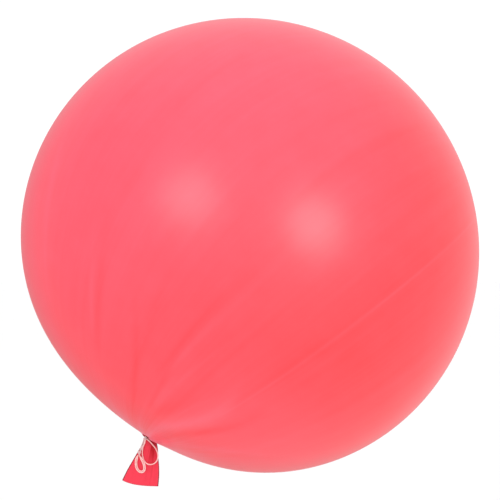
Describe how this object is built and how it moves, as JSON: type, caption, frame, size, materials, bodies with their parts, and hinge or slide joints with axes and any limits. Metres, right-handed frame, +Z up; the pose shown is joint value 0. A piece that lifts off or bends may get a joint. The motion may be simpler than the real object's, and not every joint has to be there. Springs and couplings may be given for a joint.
{
  "type": "weather balloon",
  "caption": "Inflated round latex balloon in coral red, tied off at its throat with a cotton string bow over the slack filling neck that hangs below.",
  "frame": {"origin": "middle of the sphere that the envelope fills, where the air holds it up", "axes": "+Z up; the broad front of the slack neck faces -Y; the tied throat is at the lower left, towards -X"},
  "size_m": [0.9058, 0.9122, 0.9299],
  "materials": {
    "latex_skin": "matte satin, powdered",
    "latex_neck": "matte, slack and deeper in colour",
    "cotton_string": "undyed twisted cotton"
  },
  "bodies": {
    "balloon": {"envelope": "latex_skin", "throat_gather": "latex_neck", "tie_winding": "cotton_string", "tie_knot": "cotton_string", "bow_knot": "cotton_string", "bow_loop_large": "cotton_string", "bow_loop_small_outer": "cotton_string", "bow_loop_small_inner": "cotton_string"},
    "neck": {"neck_sleeve": "latex_neck"}
  },
  "joints": [
    {"name": "neck_swing", "type": "hinge", "parent": "balloon", "child": "neck", "pos_m": [-0.19947, -0.03031, -0.38482], "axis": [0, 1, 0], "range_deg": [-40, 55]}
  ]
}
